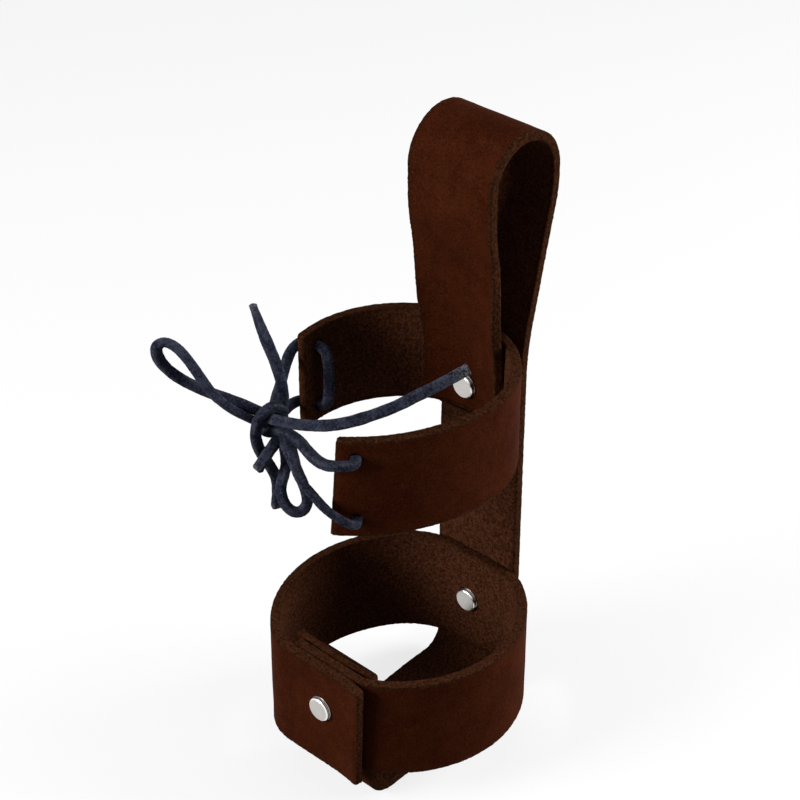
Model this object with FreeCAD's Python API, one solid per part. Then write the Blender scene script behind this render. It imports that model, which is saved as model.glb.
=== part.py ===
"""Leather bottle carrier: a strap with a belt loop, a riveted lower band and a laced upper band. Millimetres.

Frame: +Z up, origin on the bottle's axis on the surface that the carrier stands on, front towards -Y.
"""
import FreeCAD, Part
import math
import os

Vector = FreeCAD.Vector

# Leather and the bottle that it is cut for
leather = 3.5
layer_gap = 0.1
bottle_diameter = 70.0
bottle_clearance = 0.4

# Strap
strap_width = 36.0
base_bend_radius = 13.4
strap_end_height = 53.9
loop_top = 229.4
loop_front_bulge = 10.4
loop_back_bulge = 12.9
back_lean_height = 18.0
back_straight = 4.1
back_bend_shares = (0.50, 0.19)
tail_end_height = 3.0
tail_lean_height = 23.0
tail_straight = 10.0
tail_bend_shares = (0.32, 0.32)
tail_bow_shares = (0.35, 0.75, 1.0)

# Lower band, a ring whose outer end laps over its inner end at the front
lower_rise = 0.25
lower_height = 40.5
lower_slack = 6.35
lower_centre_shift = 2.0
lower_front_bend = 10.7
lower_back_bend = 18.8
left_slack = 7.75
left_back_bend = 30.0
left_front_bend = 17.0
inner_end_x = -10.5
flap_end_x = 22.5
flap_lift_x = 10.5
flap_lift_radius = 110.0

# Upper band, a C that the lace closes
upper_bottom = 117.9
upper_height = 36.5
upper_arm_radius = 58.0
right_arm_degrees = 53.0
left_arm_degrees = 11.0

# Lace
lace = 3.3
lace_hole = 4.3
lace_hole_inset = 7.0
lace_hole_margin = 6.5
knot_radius = 5.0
knot_wrap_radius = 4.3

# Rivets: a cap with a pin, pressed into the tube of a flanged base
rivet_cap_diameter = 9.5
rivet_cap_rim = 0.7
rivet_cap_height = 2.0
rivet_tube = 3.6
rivet_bore = 2.4
rivet_pin = 2.3
rivet_pin_length = 4.0
rivet_clearance = 0.1
front_rivet_x = 5.4
front_rivet_height = 23.3
back_rivet_height = 20.0
loop_rivet_height = 13.0

overrun = 2.0

# Faces that the pieces share, counted from the bottle's axis
half_leather = leather / 2
bottle_wall = bottle_diameter / 2 + bottle_clearance
pitch = leather + layer_gap
back_band_y = bottle_wall + half_leather
back_strap_y = back_band_y + pitch
tail_y = back_band_y - pitch
front_strap_y = -(bottle_wall + half_leather)
inner_end_y = front_strap_y - pitch
flap_y = inner_end_y - pitch
lower_bottom = half_leather + base_bend_radius + lower_rise
lower_radius = back_band_y + lower_slack
upper_top = upper_bottom + upper_height
back_lean_start = upper_bottom + back_lean_height
tail_end = upper_bottom + tail_end_height
tail_lean_start = upper_bottom + tail_lean_height

# Routes of the lace, chosen by hand
knot_centre = (-23.5, -39.5, 139.4)
lace_routes = {
    "bow_loop_left": [
        (-26.0, -40.3, 142.6), (-29.0, -44.8, 148.1), (-35.2, -51.4, 153.5), (-37.0, -55.2, 161.3),
        (-39.0, -59.1, 169.7), (-41.1, -62.4, 174.4), (-43.5, -66.1, 174.7), (-44.4, -68.3, 171.2),
        (-42.6, -67.2, 166.4), (-37.3, -61.6, 158.9), (-32.0, -55.3, 152.5), (-27.3, -49.5, 146.5),
        (-25.8, -42.9, 139.8),
    ],
    "bow_loop_low": [
        (-20.8, -41.4, 136.8), (-16.8, -42.0, 133.7), (-10.9, -41.2, 130.9), (-7.0, -40.8, 126.5),
        (-4.8, -40.0, 121.1), (-4.4, -39.9, 116.3), (-5.9, -40.9, 112.8), (-9.4, -43.2, 112.3),
        (-12.0, -44.8, 115.5), (-13.8, -45.6, 120.7), (-14.6, -45.7, 126.3), (-20.2, -45.3, 132.7),
        (-25.0, -42.0, 136.4),
    ],
    "lace_end_up": [
        (-22.0, -37.4, 142.7), (-20.9, -34.9, 150.5), (-21.9, -34.5, 159.4), (-25.2, -35.9, 170.7),
        (-28.8, -37.9, 180.4),
    ],
    "lace_end_right": [
        (-20.1, -41.6, 140.8), (-14.6, -44.2, 144.5), (-5.0, -46.9, 150.2), (6.5, -47.6, 156.6),
        (15.5, -45.0, 160.7), (22.5, -37.4, 163.2), (28.6, -28.6, 166.2), (33.0, -19.4, 169.5),
        (35.8, -9.5, 171.4),
    ],
    "lace_strand_upper_right": [
        (19.4, -41.8, 147.9), (21.6, -44.1, 147.9), (21.7, -47.2, 149.5), (18.7, -51.5, 149.6),
        (11.3, -52.4, 147.8), (3.0, -48.6, 145.2), (-6.5, -44.7, 143.5), (-14.3, -40.6, 141.5),
        (-19.7, -37.8, 140.0),
    ],
    "lace_strand_lower_right": [
        (19.4, -41.8, 124.4), (21.6, -44.1, 124.4), (21.8, -47.2, 126.1), (18.6, -51.6, 130.1),
        (11.3, -52.0, 134.7), (6.2, -48.7, 139.3), (-1.0, -43.9, 140.7), (-9.0, -40.4, 139.1),
        (-15.5, -38.5, 137.1), (-20.4, -37.8, 136.5),
    ],
    "lace_strand_upper_left": [
        (-37.0, -4.1, 147.9), (-40.2, -4.4, 147.9), (-42.3, -6.8, 147.8), (-42.5, -12.3, 146.9),
        (-39.0, -22.5, 144.4), (-33.4, -30.2, 142.3), (-27.8, -34.2, 141.2), (-24.3, -35.7, 140.7),
    ],
    "lace_strand_lower_left": [
        (-37.0, -4.1, 124.4), (-40.2, -4.4, 124.4), (-42.3, -6.8, 124.5), (-42.5, -12.3, 125.7),
        (-39.0, -22.5, 129.4), (-33.4, -30.2, 133.2), (-28.2, -34.4, 135.9), (-24.8, -36.1, 137.3),
    ],
    "lace_bight_right": [
        (19.4, -41.8, 147.9), (16.32, -38.58, 147.9), (15.1, -37.4, 144.0), (14.9, -37.2, 136.1),
        (15.1, -37.4, 128.3), (16.32, -38.58, 124.4), (19.4, -41.8, 124.4),
    ],
    "lace_bight_left": [
        (-37.0, -4.1, 147.9), (-32.2, -3.65, 147.9), (-30.8, -3.6, 144.0), (-30.5, -3.6, 136.1),
        (-30.8, -3.6, 128.3), (-32.2, -3.65, 124.4), (-37.0, -4.1, 124.4),
    ],
}
short_ends = [
    [(-21.5, -43.0, 138.8), (-16.3, -45.8, 138.7), (-14.8, -48.9, 135.5), (-15.8, -51.3, 131.5)],
    [(-23.5, -42.0, 142.8), (-22.0, -46.0, 144.1), (-20.8, -48.1, 140.3), (-20.9, -47.9, 135.3),
     (-22.0, -45.0, 127.4), (-22.4, -41.2, 118.4), (-23.0, -39.0, 110.4)],
]
bow_direction = (-0.6, -0.5, 0.6)
strand_direction = (0.9, -0.3, 0.1)


class StripPath:
    """A strip of leather drawn edge on: straight runs and bends that follow on from each other."""

    def __init__(self, start, heading, place):
        self.point = start
        self.heading = math.radians(heading)
        self.place = place
        self.left = []
        self.right = []
        self.start_cap = self.sides()

    def sides(self, point=None, heading=None):
        x, y = point or self.point
        angle = self.heading if heading is None else heading
        across = (-math.sin(angle) * half_leather, math.cos(angle) * half_leather)
        return self.place(x + across[0], y + across[1]), self.place(x - across[0], y - across[1])

    def run(self, length):
        before = self.sides()
        x, y = self.point
        self.point = (x + length * math.cos(self.heading), y + length * math.sin(self.heading))
        after = self.sides()
        self.left.append(Part.LineSegment(before[0], after[0]).toShape())
        self.right.append(Part.LineSegment(before[1], after[1]).toShape())

    def bend(self, radius, degrees):
        turn = math.radians(degrees)
        side = math.copysign(radius, turn)
        x, y = self.point
        centre = (x - side * math.sin(self.heading), y + side * math.cos(self.heading))
        rings = []
        for share in (0.0, 0.5, 1.0):
            angle = self.heading + turn * share
            point = (centre[0] + side * math.sin(angle), centre[1] - side * math.cos(angle))
            rings.append(self.sides(point, angle))
        self.left.append(Part.Arc(*[ring[0] for ring in rings]).toShape())
        self.right.append(Part.Arc(*[ring[1] for ring in rings]).toShape())
        self.heading += turn
        self.point = point

    def section(self, bow_radius=None):
        """Cut of the strip square to the path, flat or bowed about the bottle."""
        half = strap_width / 2
        ahead = self.heading
        rear = Vector(0, -math.sin(ahead), math.cos(ahead))
        crown = Vector(0, *self.point)
        edges = []
        corners = []
        for offset in (-half_leather, half_leather):
            if bow_radius is None:
                ends = [Vector(side * half, 0, 0) + crown + rear * offset for side in (-1, 1)]
                edges.append(Part.LineSegment(*ends).toShape())
            else:
                spread = half / bow_radius
                radius = bow_radius + offset
                arc = []
                for angle in (-spread, 0, spread):
                    drop = radius * math.cos(angle) - bow_radius
                    arc.append(Vector(radius * math.sin(angle), 0, 0) + crown + rear * drop)
                ends = [arc[0], arc[-1]]
                edges.append(Part.Arc(*arc).toShape())
            corners.append(ends)
        near, far = corners
        right_edge = Part.LineSegment(near[1], far[1]).toShape()
        left_edge = Part.LineSegment(far[0], near[0]).toShape()
        return Part.Wire([edges[0], right_edge, edges[1], left_edge])

    def solid(self, sweep):
        end_cap = self.sides()
        caps = [
            Part.LineSegment(*self.start_cap).toShape(),
            Part.LineSegment(*end_cap).toShape(),
        ]
        outline = Part.Wire(Part.__sortEdges__(self.left + self.right + caps))
        return Part.Face(outline).extrude(sweep)


def flat_length(depth, bend_radius):
    """Half a flat at that depth from the ring's centre, with bends that run into the ring's side."""
    return math.sqrt(lower_radius**2 - depth**2 - 2 * bend_radius * (lower_radius - depth))


def drill(shape, point, way, reach, diameter):
    """A hole through the leather, reach to either side of the point."""
    return shape.cut(Part.makeCylinder(diameter / 2, 2 * reach, point - way * reach, way))


def drill_rivets(shape, places):
    """Clear the rivets' tubes."""
    for _, x, z, base_y, cap_y in places:
        middle = Vector(x, (base_y + cap_y) / 2, z)
        reach = abs(cap_y - base_y) / 2 + overrun
        shape = drill(shape, middle, Vector(0, 1, 0), reach, rivet_tube + 2 * rivet_clearance)
    return shape


def lean(rise, across, bend_shares):
    """Two opposite bends that move the strap across over a rise: their radii, the run between, the angle.

    The shares are of the widest radii that fit, which leave no run between the bends.
    """
    widest = (rise**2 + across**2) / (2 * across)
    radii = [share * widest for share in bend_shares]
    total = sum(radii)
    angle = math.asin(total / math.hypot(rise, total - across)) - math.atan2(total - across, rise)
    between = (across - total * (1 - math.cos(angle))) / math.sin(angle)
    return radii, between, math.degrees(angle)


def carrier_strap():
    fold_radius = (loop_front_bulge + loop_back_bulge + back_strap_y - tail_y) / 2
    fold_centre_z = loop_top - half_leather - fold_radius
    back_rise = fold_centre_z - back_straight - back_lean_start
    back_bends, back_run, back_degrees = lean(back_rise, loop_back_bulge, back_bend_shares)
    tail_rise = fold_centre_z - tail_straight - tail_lean_start
    tail_bends, tail_run, tail_degrees = lean(tail_rise, loop_front_bulge, tail_bend_shares)
    bend_top = half_leather + base_bend_radius

    path = StripPath((front_strap_y, strap_end_height), -90, lambda y, z: Vector(-strap_width / 2, y, z))
    path.run(strap_end_height - bend_top)
    path.bend(base_bend_radius, 90)
    path.run(back_strap_y - front_strap_y - 2 * base_bend_radius)
    path.bend(base_bend_radius, 90)
    path.run(back_lean_start - bend_top)
    path.bend(back_bends[0], -back_degrees)
    path.run(back_run)
    path.bend(back_bends[1], back_degrees)
    path.run(back_straight)
    path.bend(fold_radius, 180)
    path.run(tail_straight)
    path.bend(tail_bends[0], tail_degrees)
    strap = path.solid(Vector(strap_width, 0, 0))

    # The tail bows round the bottle on its way down into the upper band
    sections = [path.section()]
    for bow_share in tail_bow_shares:
        path.run(tail_run / len(tail_bow_shares))
        sections.append(path.section(tail_y / bow_share))
    path.bend(tail_bends[1], -tail_degrees)
    sections.append(path.section(tail_y))
    tail = Part.Face(sections[-1]).extrude(Vector(0, 0, tail_end - tail_lean_start))
    strap = strap.fuse([Part.makeLoft(sections, True, False), tail]).removeSplitter()
    return drill_rivets(strap, rivets())


def lower_band():
    """The ring: its left side is one layer deeper, which brings the flap in front of the inner end."""
    centre = -lower_centre_shift
    front_flat = flat_length(centre - inner_end_y, lower_front_bend)
    back_flat = flat_length(back_band_y - centre, lower_back_bend)
    front_angle = math.degrees(math.atan2(inner_end_y + lower_front_bend - centre, front_flat))
    back_angle = math.degrees(math.atan2(back_band_y - lower_back_bend - centre, back_flat))
    half_depth = (back_band_y - flap_y) / 2
    left_radius = half_depth + left_slack
    reach = []
    turn = []
    for bend_radius in (left_back_bend, left_front_bend):
        rise = half_depth - bend_radius
        reach.append(math.sqrt((left_radius - bend_radius) ** 2 - rise**2))
        turn.append(math.degrees(math.atan2(reach[-1], rise)))
    left_back_x = inner_end_x + reach[1] - reach[0]

    path = StripPath((inner_end_x, inner_end_y), 0, lambda x, y: Vector(x, y, lower_bottom))
    path.run(front_flat - inner_end_x)
    path.bend(lower_front_bend, front_angle + 90)
    path.bend(lower_radius, back_angle - front_angle)
    path.bend(lower_back_bend, 90 - back_angle)
    path.run(back_flat - left_back_x)
    path.bend(left_back_bend, turn[0])
    path.bend(left_radius, 180 - sum(turn))
    path.bend(left_front_bend, turn[1])
    path.run(flap_lift_x - inner_end_x)
    lift = math.degrees(math.asin((flap_end_x - flap_lift_x) / flap_lift_radius))
    path.bend(flap_lift_radius, -lift)
    band = path.solid(Vector(0, 0, lower_height))
    return drill_rivets(band, rivets()[:2])


def upper_band():
    """Round the bottle at the back, with arms that straighten towards the lace."""
    arm_centre_x = back_band_y - upper_arm_radius
    end = math.radians(right_arm_degrees)
    start = (arm_centre_x + upper_arm_radius * math.cos(end), -upper_arm_radius * math.sin(end))

    path = StripPath(start, 90 - right_arm_degrees, lambda x, y: Vector(x, y, upper_bottom))
    path.bend(upper_arm_radius, right_arm_degrees)
    path.bend(back_band_y, 180)
    path.bend(upper_arm_radius, left_arm_degrees)
    band = path.solid(Vector(0, 0, upper_height))
    for side, arm_degrees in ((1, right_arm_degrees), (-1, left_arm_degrees)):
        angle = math.radians(arm_degrees) - lace_hole_inset / upper_arm_radius
        outward = Vector(side * math.cos(angle), -math.sin(angle), 0)
        for z in (upper_bottom + lace_hole_margin, upper_top - lace_hole_margin):
            hole = Vector(side * arm_centre_x, 0, z) + outward * upper_arm_radius
            band = drill(band, hole, outward, leather, lace_hole)
    return drill_rivets(band, rivets()[2:])


def rivets():
    """Name, place and the two outer leather faces of each rivet: where its base and its cap sit."""
    strap_back = back_strap_y + half_leather
    tail_face = tail_y - half_leather
    tail_seat = math.sqrt(tail_face**2 - (rivet_cap_diameter / 2) ** 2)
    front_z = lower_bottom + front_rivet_height
    back_z = lower_bottom + back_rivet_height
    loop_z = upper_bottom + loop_rivet_height
    return [
        ("front_rivet", front_rivet_x, front_z, front_strap_y + half_leather, flap_y - half_leather),
        ("back_rivet", 0, back_z, back_band_y - half_leather, strap_back),
        ("loop_rivet", 0, loop_z, tail_seat, strap_back),
    ]


def dome():
    """A rivet head that stands on the plane z = 0."""
    radius = rivet_cap_diameter / 2
    rim = Vector(radius, 0, rivet_cap_rim)
    crown = Vector(0, 0, rivet_cap_height)
    rise = rivet_cap_height - rivet_cap_rim
    crown_radius = (radius**2 + rise**2) / (2 * rise)
    half = math.asin(radius / crown_radius) / 2
    drop = crown_radius * (1 - math.cos(half))
    shoulder = Vector(crown_radius * math.sin(half), 0, rivet_cap_height - drop)
    edges = [
        Part.LineSegment(Vector(0, 0, 0), Vector(radius, 0, 0)).toShape(),
        Part.LineSegment(Vector(radius, 0, 0), rim).toShape(),
        Part.Arc(rim, shoulder, crown).toShape(),
        Part.LineSegment(crown, Vector(0, 0, 0)).toShape(),
    ]
    return Part.Face(Part.Wire(edges)).revolve(Vector(0, 0, 0), Vector(0, 0, 1), 360)


def rivet(x, z, base_y, cap_y):
    """Cap and base of a rivet that grips all leather between two faces."""
    grip = abs(cap_y - base_y)
    pin_bore_depth = rivet_pin_length + rivet_clearance
    cap = dome()
    cap.translate(Vector(0, 0, grip))
    cap = cap.fuse(Part.makeCylinder(rivet_pin / 2, rivet_pin_length, Vector(0, 0, grip - rivet_pin_length)))
    base = dome().mirror(Vector(0, 0, 0), Vector(0, 0, 1))
    base = base.fuse(Part.makeCylinder(rivet_tube / 2, grip - rivet_clearance))
    bore_start = Vector(0, 0, grip - pin_bore_depth)
    base = base.cut(Part.makeCylinder(rivet_bore / 2, pin_bore_depth, bore_start))
    turn = FreeCAD.Rotation(Vector(0, 0, 1), Vector(0, cap_y - base_y, 0))
    for piece in (cap, base):
        piece.Placement = FreeCAD.Placement(Vector(x, base_y, z), turn)
    return cap.removeSplitter(), base.removeSplitter()


def lace_tube(name, points):
    """A round lace along straight runs joined by the largest tangent arcs that fit."""
    points = [Vector(*point) for point in points]
    edges = []
    radii = []
    here = points[0]
    for before, corner, after in zip(points, points[1:], points[2:]):
        run_in, run_out = corner - before, after - corner
        way_in, way_out = Vector(run_in).normalize(), Vector(run_out).normalize()
        half_turn = run_in.getAngle(run_out) / 2
        setback_share = 0.45
        setback = setback_share * min(run_in.Length, run_out.Length)
        radius = setback / math.tan(half_turn)
        start, end = corner - way_in * setback, corner + way_out * setback
        inward = (way_out - way_in).normalize()
        middle = corner + inward * (radius / math.cos(half_turn) - radius)
        edges.append(Part.LineSegment(here, start).toShape())
        edges.append(Part.Arc(start, middle, end).toShape())
        radii.append(radius)
        here = end
    edges.append(Part.LineSegment(here, points[-1]).toShape())
    path = Part.Wire(edges)
    profile = Part.Wire(Part.makeCircle(lace / 2, points[0], points[1] - points[0]))
    tube = path.makePipeShell([profile], True, False)
    expected = math.pi * lace**2 / 4 * path.Length
    print(f"{name}: length {path.Length:.1f}, volume {tube.Volume / expected:.3f} of section x length, "
          f"least radius {min(radii):.1f}")
    return tube


def lace_knot():
    centre = Vector(*knot_centre)
    knot = Part.makeSphere(knot_radius, centre)
    for direction in (bow_direction, strand_direction):
        knot = knot.fuse(Part.makeTorus(knot_wrap_radius, lace / 2, centre, Vector(*direction)))
    for number, points in enumerate(short_ends):
        knot = knot.fuse(lace_tube(f"short end {number + 1}", points))
    return knot


def write(name, shape):
    shape.exportStep(f"parts/{name}.step")
    print(name, "valid" if shape.isValid() else "NOT VALID", len(shape.Solids), round(shape.Volume, 1))


os.makedirs("parts", exist_ok=True)
write("carrier_strap", carrier_strap())
write("lower_band", lower_band())
write("upper_band", upper_band())
for name, x, z, base_y, cap_y in rivets():
    cap, base = rivet(x, z, base_y, cap_y)
    write(f"{name}_cap", cap)
    write(f"{name}_base", base)
knot = lace_knot()
write("lace_knot", knot)
for name, points in lace_routes.items():
    write(name, lace_tube(name, points).cut(knot))
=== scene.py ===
"""Leather carrier for a belt: a strap with a belt loop, a riveted lower band, a laced upper band.

Metres, in the part's own frame: +Z up, origin on the floor in the middle of the bands, front
towards -Y.
"""
import math

import bmesh
import bpy
from mathutils import Matrix, Quaternion, Vector, noise


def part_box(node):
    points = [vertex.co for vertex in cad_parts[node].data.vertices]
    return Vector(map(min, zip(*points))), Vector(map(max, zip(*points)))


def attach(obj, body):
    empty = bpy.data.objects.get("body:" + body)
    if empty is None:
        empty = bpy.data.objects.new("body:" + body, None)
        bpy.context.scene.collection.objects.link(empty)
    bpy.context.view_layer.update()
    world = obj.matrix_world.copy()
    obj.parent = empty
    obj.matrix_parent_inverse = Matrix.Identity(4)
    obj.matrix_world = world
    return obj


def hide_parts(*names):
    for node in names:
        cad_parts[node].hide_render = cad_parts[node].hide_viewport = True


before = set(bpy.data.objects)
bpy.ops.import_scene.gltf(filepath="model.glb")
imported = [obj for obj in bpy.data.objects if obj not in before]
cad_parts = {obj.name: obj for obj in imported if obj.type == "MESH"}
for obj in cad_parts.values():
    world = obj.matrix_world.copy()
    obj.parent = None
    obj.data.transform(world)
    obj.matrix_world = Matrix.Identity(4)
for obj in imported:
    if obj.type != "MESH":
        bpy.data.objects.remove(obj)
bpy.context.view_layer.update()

# Camera, from the photograph
CAMERA_AZIMUTH = 43.1
CAMERA_ELEVATION = 33.5
CAMERA_DISTANCE = 0.700
CAMERA_FOCAL_PIXELS = 2123.3
PHOTO_PIXELS = 800
SENSOR_MILLIMETRES = 36
AIM_RIGHT = -0.00078
AIM_HEIGHT = 0.1399

# Leather and its layers, from the inside radius of the bands
LEATHER = 0.0035
LAYER_GAP = 0.0001
CLEAR_RADIUS = 0.0354
PITCH = LEATHER + LAYER_GAP
BACK_BAND_Y = CLEAR_RADIUS + LEATHER / 2
BACK_STRAP_Y = BACK_BAND_Y + PITCH
TAIL_Y = BACK_BAND_Y - PITCH
FRONT_STRAP_Y = -BACK_BAND_Y
INNER_END_Y = FRONT_STRAP_Y - PITCH
FLAP_Y = INNER_END_Y - PITCH

# Leather strips: eased corners, cuts that waver and a fuzz of fibres
CORNER_EASE = 0.0006
CORNER_STEPS = 3
FACE_STEP = 0.0016
EDGE_STEPS = 4
END_EASE = (0.0006, 0.0002, 0.0)
CUT_WIDTH = 0.0009
CUT_BLEND = 0.7
FLESH_BLEND = 4
CUT_SWAY = 0.00018
CUT_SWAY_PACE = 0.021
CUT_SWAY_SEED = 900
FACE_WAVE = 0.00010
FACE_WAVE_PACE = 0.05
FACE_WAVE_SCALE = 160
FACE_WAVE_SEED = 700
LEATHER_FUZZ = ((1400, 1.0), (3100, 0.6))
FACE_FUZZ = 0.00003
CUT_FUZZ = 0.00012

# Leather's colours, dark to light, with the size and depth of what shows in them
GRAIN_BROWNS = ((0.0250, 0.0046, 0.0012, 1), (0.0570, 0.0128, 0.0039, 1))
SCUFFED_BROWN = (0.090, 0.030, 0.011, 1)
FLESH_BROWNS = ((0.0260, 0.0075, 0.0031, 1), (0.112, 0.040, 0.0185, 1))
EDGE_BROWNS = ((0.0200, 0.0056, 0.0019, 1), (0.074, 0.0270, 0.0118, 1))
CLOUD_SIZE = 0.022
MOTTLE_SIZE = 0.0042
MOTTLE_DEPTH = 0.00012
NAP_SIZE = 0.0007
NAP_DEPTH = 0.00014
FIBRE_SIZE = 0.0011
FIBRE_DEPTH = 0.0007
SCUFF_SIZE = 0.009

# Strap
STRAP_WIDTH = 0.036
STRAP_END_HEIGHT = 0.0556
BASE_BEND = 0.009
FRONT_SHIFT = 0.0033
FRONT_BOW_RADIUS = 0.115
LOOP_FRONT_BULGE = 0.0104
LOOP_BACK_BULGE = 0.0129
BACK_LEAN_HEIGHT = 0.018
BACK_STRAIGHT = 0.0041
BACK_BEND_SHARES = (0.50, 0.19)
TAIL_END_HEIGHT = 0.003
TAIL_LEAN_HEIGHT = 0.023
TAIL_STRAIGHT = 0.010
TAIL_BEND_SHARES = (0.32, 0.32)

# Lower band
LOWER_SLACK = 0.00635
LOWER_RADIUS = BACK_BAND_Y + LOWER_SLACK
LOWER_CENTRE_Y = -0.002
LOWER_FRONT_BEND = 0.0107
LOWER_BACK_BEND = 0.0188
LEFT_SLACK = 0.00775
LEFT_BACK_BEND = 0.030
LEFT_FRONT_BEND = 0.017
INNER_END_X = -0.0115
FLAP_END_X = 0.0240
FLAP_LIFT_X = 0.0105
FLAP_LIFT_RADIUS = 0.060
FLAP_SLANT = 0.0018
FLAP_SLANT_LENGTH = 0.014
INNER_END_TAPER = 0.0015
FLAP_TAPER = -0.0020
TAPER_CHANGE = (0.3, 0.65)

# Upper band
UPPER_ARM_RADIUS = 0.058
RIGHT_ARM_DEGREES = 53.0
LEFT_ARM_DEGREES = 11.0
RIGHT_END_EXTRA = 0.0002
RIGHT_END_SLANT = 0.0023
RIGHT_END_SLANT_LENGTH = 0.012
LACE_HOLE = 0.0043
LACE_HOLE_INSET = 0.007
LACE_HOLE_MARGIN = 0.0065
LACE_HOLE_SIDES = 32

# Lace
LACE = 0.0037
LACE_FLATNESS = 0.78
LACE_SQUARENESS = 3.5
LACE_FACING = Vector((0.57, -0.61, 0.55))
LACE_SIDES = 24
LACE_CORNER_WEAR = 3
LACE_SWELL = 0.06
LACE_SWELL_SCALE = 260
LACE_TAPER_DEPTH = 0.3
LACE_END_EASE = 0.08
LACE_FUZZ = ((1500, 1.0), (3300, 0.7))
LACE_NAP = 0.00007
FRAYED_NAP = 0.00012
ROUTE_RESOLUTION = 14
LACE_ROUTES = {
    "bow_loop_left": [
        (-0.0235, -0.0404, 0.1434), (-0.0260, -0.0441, 0.1466), (-0.0284, -0.0478, 0.1494),
        (-0.0309, -0.0515, 0.1520), (-0.0336, -0.0550, 0.1543), (-0.0361, -0.0585, 0.1572),
        (-0.0385, -0.0620, 0.1605), (-0.0406, -0.0653, 0.1647), (-0.0422, -0.0675, 0.1693),
        (-0.0420, -0.0681, 0.1740), (-0.0399, -0.0661, 0.1759), (-0.0371, -0.0635, 0.1735),
        (-0.0352, -0.0614, 0.1693), (-0.0332, -0.0595, 0.1643), (-0.0310, -0.0578, 0.1591),
        (-0.0293, -0.0555, 0.1545), (-0.0273, -0.0516, 0.1493), (-0.0255, -0.0474, 0.1451),
        (-0.0238, -0.0421, 0.1405),
    ],
    "bow_loop_low": [
        (-0.0178, -0.0386, 0.1365), (-0.0138, -0.0403, 0.1349), (-0.0099, -0.0415, 0.1326),
        (-0.0068, -0.0420, 0.1293), (-0.0040, -0.0421, 0.1252), (-0.0027, -0.0416, 0.1203),
        (-0.0037, -0.0425, 0.1159), (-0.0063, -0.0442, 0.1143), (-0.0090, -0.0454, 0.1158),
        (-0.0113, -0.0455, 0.1190), (-0.0132, -0.0439, 0.1218), (-0.0147, -0.0405, 0.1243),
        (-0.0166, -0.0374, 0.1270), (-0.0197, -0.0356, 0.1309),
    ],
    "lace_end_up": [
        (-0.0217, -0.0347, 0.1406), (-0.0210, -0.0340, 0.1453), (-0.0208, -0.0342, 0.1505),
        (-0.0211, -0.0348, 0.1560), (-0.0223, -0.0356, 0.1616), (-0.0240, -0.0366, 0.1670),
        (-0.0262, -0.0375, 0.1732), (-0.0290, -0.0383, 0.1815),
    ],
    "lace_end_right": [
        (-0.0215, -0.0414, 0.1436), (-0.0163, -0.0419, 0.1449), (-0.0102, -0.0424, 0.1470),
        (-0.0023, -0.0439, 0.1506), (0.0064, -0.0453, 0.1550), (0.0142, -0.0456, 0.1591),
        (0.0191, -0.0431, 0.1614), (0.0229, -0.0382, 0.1630), (0.0267, -0.0319, 0.1648),
        (0.0301, -0.0252, 0.1674), (0.0332, -0.0182, 0.1696), (0.0360, -0.0088, 0.1719),
    ],
    "lace_strand_upper_right": [
        (0.0194, -0.0418, 0.1479), (0.0216, -0.0441, 0.1479), (0.0227, -0.0472, 0.1485),
        (0.0194, -0.0504, 0.1484), (0.0140, -0.0503, 0.1463), (0.0080, -0.0482, 0.1444),
        (0.0010, -0.0452, 0.1430), (-0.0054, -0.0420, 0.1419), (-0.0130, -0.0402, 0.1409),
        (-0.0212, -0.0397, 0.1388),
    ],
    "lace_strand_lower_right": [
        (0.0194, -0.0418, 0.1244), (0.0216, -0.0441, 0.1244), (0.0226, -0.0472, 0.1256),
        (0.0196, -0.0504, 0.1285), (0.0152, -0.0517, 0.1307), (0.0095, -0.0508, 0.1323),
        (0.0032, -0.0508, 0.1353), (-0.0023, -0.0475, 0.1374), (-0.0071, -0.0433, 0.1361),
        (-0.0155, -0.0378, 0.1382),
    ],
    "lace_strand_upper_left": [
        (-0.0370, -0.0041, 0.1479), (-0.0400, -0.0043, 0.1479), (-0.0412, -0.0066, 0.1478),
        (-0.0407, -0.0115, 0.1470), (-0.0368, -0.0178, 0.1453), (-0.0318, -0.0252, 0.1431),
        (-0.0276, -0.0318, 0.1415), (-0.0243, -0.0357, 0.1407),
    ],
    "lace_strand_lower_left": [
        (-0.0370, -0.0041, 0.1244), (-0.0400, -0.0043, 0.1244), (-0.0412, -0.0066, 0.1246),
        (-0.0407, -0.0115, 0.1257), (-0.0368, -0.0178, 0.1286), (-0.0318, -0.0252, 0.1322),
        (-0.0278, -0.0322, 0.1356), (-0.0248, -0.0361, 0.1373),
    ],
    "lace_bight_right": [
        (0.0194, -0.0418, 0.1479), (0.01632, -0.03858, 0.1479), (0.0151, -0.0374, 0.1440),
        (0.0149, -0.0372, 0.1361), (0.0151, -0.0374, 0.1283), (0.01632, -0.03858, 0.1244),
        (0.0194, -0.0418, 0.1244),
    ],
    "lace_bight_left": [
        (-0.0370, -0.0041, 0.1479), (-0.0322, -0.00365, 0.1479), (-0.0308, -0.0036, 0.1440),
        (-0.0305, -0.0036, 0.1361), (-0.0308, -0.0036, 0.1283), (-0.0322, -0.00365, 0.1244),
        (-0.0370, -0.0041, 0.1244),
    ],
}
SHORT_ENDS = {
    "lace_short_end_left": [
        (-0.0187, -0.0387, 0.1361), (-0.0171, -0.0420, 0.1356), (-0.0174, -0.0450, 0.1333),
        (-0.0193, -0.0482, 0.1274),
    ],
    "lace_short_end_down": [
        (-0.0198, -0.0350, 0.1432), (-0.0193, -0.0386, 0.1475), (-0.0196, -0.0430, 0.1482),
        (-0.0209, -0.0456, 0.1444), (-0.0219, -0.0462, 0.1388), (-0.0220, -0.0450, 0.1332),
        (-0.0214, -0.0430, 0.1283), (-0.0204, -0.0410, 0.1240), (-0.0197, -0.0393, 0.1188),
        (-0.0201, -0.0388, 0.1131), (-0.0210, -0.0388, 0.1067),
    ],
}
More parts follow.
